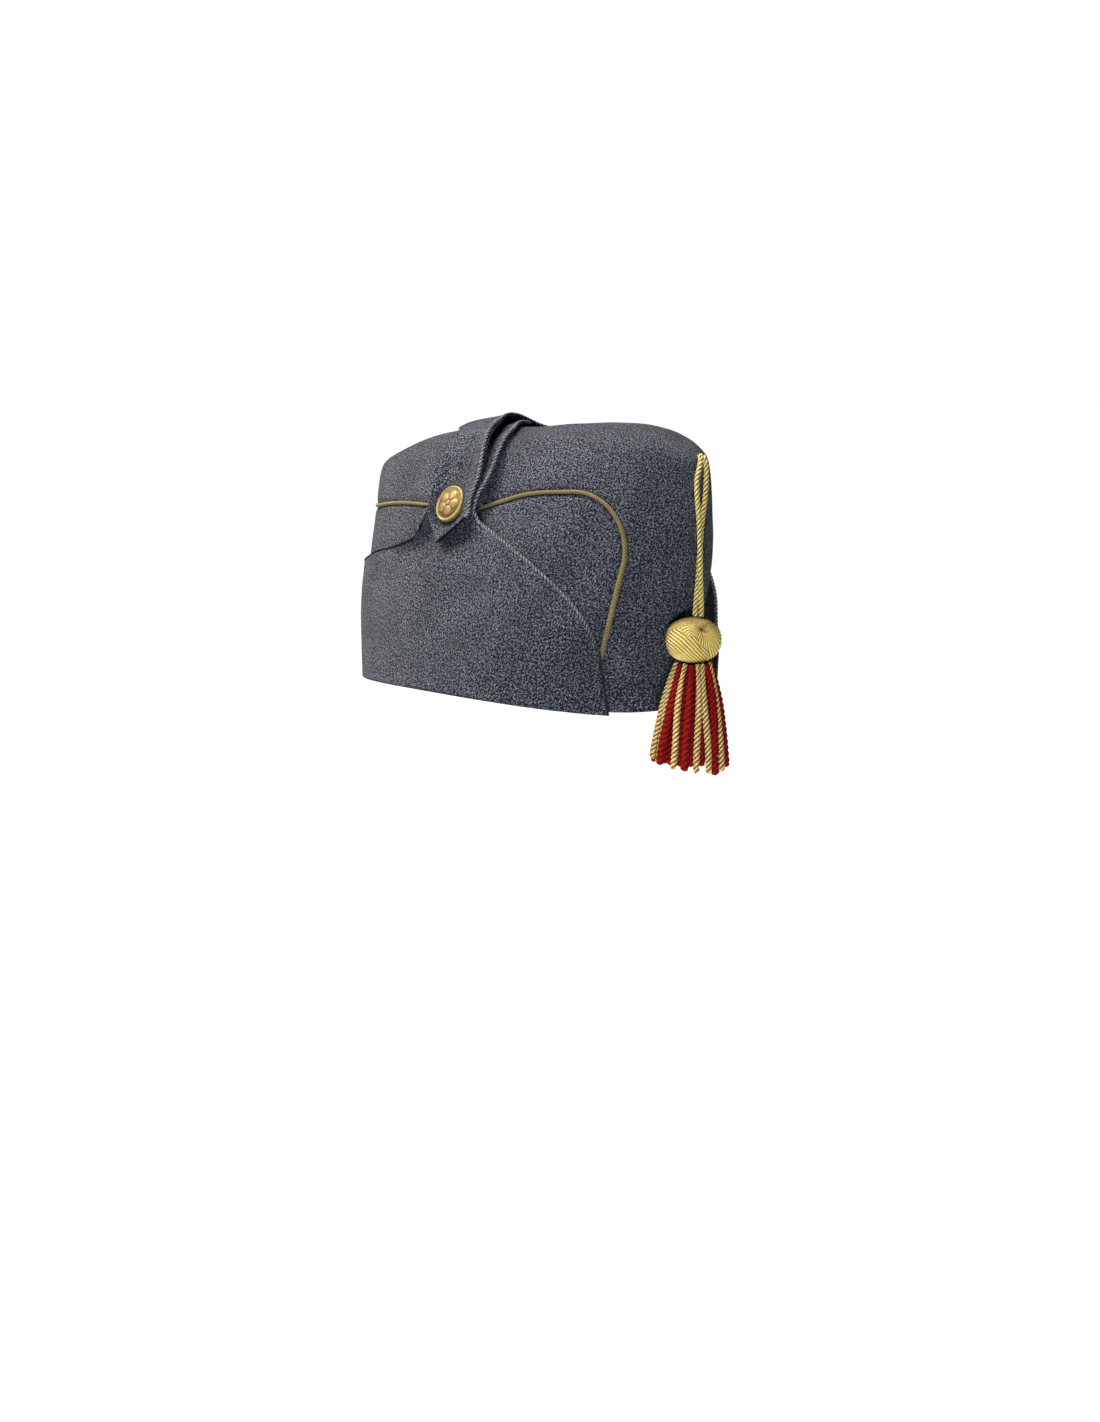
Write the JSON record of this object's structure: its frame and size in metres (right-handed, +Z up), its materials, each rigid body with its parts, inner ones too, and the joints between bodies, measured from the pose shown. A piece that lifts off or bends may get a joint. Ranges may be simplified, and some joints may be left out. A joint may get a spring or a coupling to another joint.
{
  "type": "tasseled cap",
  "caption": "Wool side cap with piped crown, turned-up ear flaps, a buttoned strap over the top and a gold and red tassel hanging from the front tip.",
  "frame": {"origin": "centre of the head opening, level with the rim at the sides", "axes": "+Z up, +Y towards the back of the cap, -X towards the wearer's right, where the button is"},
  "size_m": [0.1656, 0.2718, 0.1798],
  "materials": {
    "cloth": "matt blue-grey wool with a fine speckled twill",
    "piping": "gold braid cord",
    "gold_cord": "twisted gold silk cord",
    "red_cord": "twisted dark red silk cord",
    "button_metal": "polished gilt brass"
  },
  "bodies": {
    "root": {"crown_top": "cloth", "crown_side_right": "cloth", "crown_side_left": "cloth", "piping_right": "piping", "piping_left": "piping", "flap_right": "cloth", "flap_left": "cloth", "button": "button_metal", "tassel_cord_right": "gold_cord", "tassel_cord_left": "gold_cord", "tassel_head": "gold_cord", "tassel_fringe_gold": "gold_cord", "tassel_fringe_red": "red_cord"}
  },
  "joints": []
}
